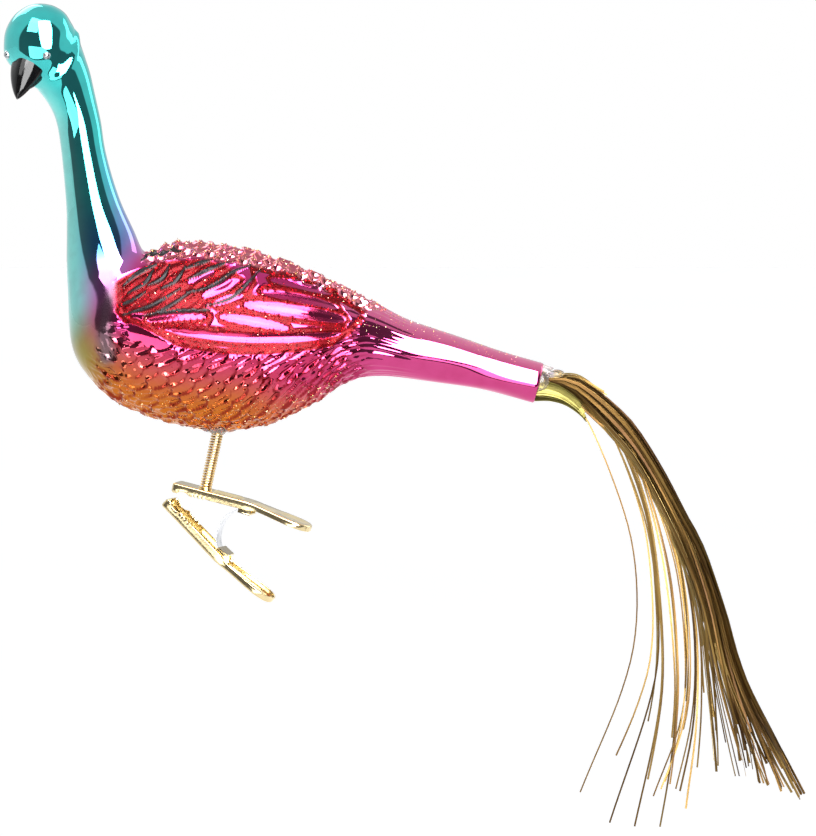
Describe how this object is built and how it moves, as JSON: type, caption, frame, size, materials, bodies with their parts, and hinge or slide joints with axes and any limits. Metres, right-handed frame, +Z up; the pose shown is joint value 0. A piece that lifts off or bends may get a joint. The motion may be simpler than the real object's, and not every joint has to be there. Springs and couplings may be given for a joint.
{
  "type": "clip-on glass bird ornament",
  "caption": "Silvered-glass bird ornament with a foil-strand tail, on a coil stem and a sprung metal clip that grips a twig.",
  "frame": {"origin": "middle of the twig that the clip's two jaw notches grip", "axes": "+Z up, -X the way the bird's body points, -Y the side its head is turned to"},
  "size_m": [0.1978, 0.037, 0.2069],
  "materials": {
    "silvered_glass": "mirror-bright silvered glass, lacquered teal at the head, magenta on the body",
    "black_glass": "glossy black glass",
    "eye_bead": "glossy silver-grey",
    "hot_glue": "clear set glue, smooth and lumpy",
    "foil_tinsel": "metallised film, gold and olive, bright edges",
    "gold_plate": "bright gold plating",
    "gold_wire": "bright gold-plated wire",
    "spring_steel": "thin bright spring strip"
  },
  "bodies": {
    "clip": {"clip_upper_jaw": "gold_plate", "stem_eyelet": "gold_plate", "clip_bow_spring": "spring_steel"},
    "lever": {"clip_lower_jaw": "gold_plate"},
    "stem": {"stem_spring": "gold_wire"},
    "bird": {"glass_body": "silvered_glass", "beak": "black_glass", "eye_left": "eye_bead", "eye_right": "eye_bead", "belly_glue": "hot_glue", "tail_glue": "hot_glue"},
    "tail_root": {"tail_header": "foil_tinsel"},
    "tail": {"tail_bundle": "foil_tinsel", "tail_strand_1": "foil_tinsel", "tail_strand_2": "foil_tinsel", "tail_strand_3": "foil_tinsel", "tail_strand_4": "foil_tinsel", "tail_strand_5": "foil_tinsel", "tail_strand_6": "foil_tinsel"}
  },
  "joints": [
    {"name": "jaw_squeeze", "type": "hinge", "parent": "clip", "child": "lever", "pos_m": [0.00931, -0.00284, -0.00533], "axis": [-0.2924, -0.9563, 0], "range_deg": [-5, 34], "stiffness_Nm_per_rad": 0.12, "deforming": ["clip_bow_spring"]},
    {"name": "stem_fore_aft", "type": "hinge", "parent": "clip", "child": "stem", "pos_m": [0.00617, -0.00189, 0.00818], "axis": [0, 1, 0], "range_deg": [-14, 14], "stiffness_Nm_per_rad": 0.4, "deforming": ["stem_spring"]},
    {"name": "stem_side", "type": "hinge", "parent": "stem", "child": "bird", "pos_m": [0.00718, -0.0022, 0.01286], "axis": [1, 0, 0], "range_deg": [-14, 14], "stiffness_Nm_per_rad": 0.4, "deforming": ["stem_spring"]},
    {"name": "tail_lift", "type": "hinge", "parent": "bird", "child": "tail_root", "pos_m": [0.08762, -0.00256, 0.03006], "axis": [0, -1, 0], "range_deg": [-18, 45], "stiffness_Nm_per_rad": 0.03},
    {"name": "tail_swing", "type": "hinge", "parent": "tail_root", "child": "tail", "pos_m": [0.08762, -0.00256, 0.03006], "axis": [0, 0, 1], "range_deg": [-25, 25], "stiffness_Nm_per_rad": 0.02}
  ]
}
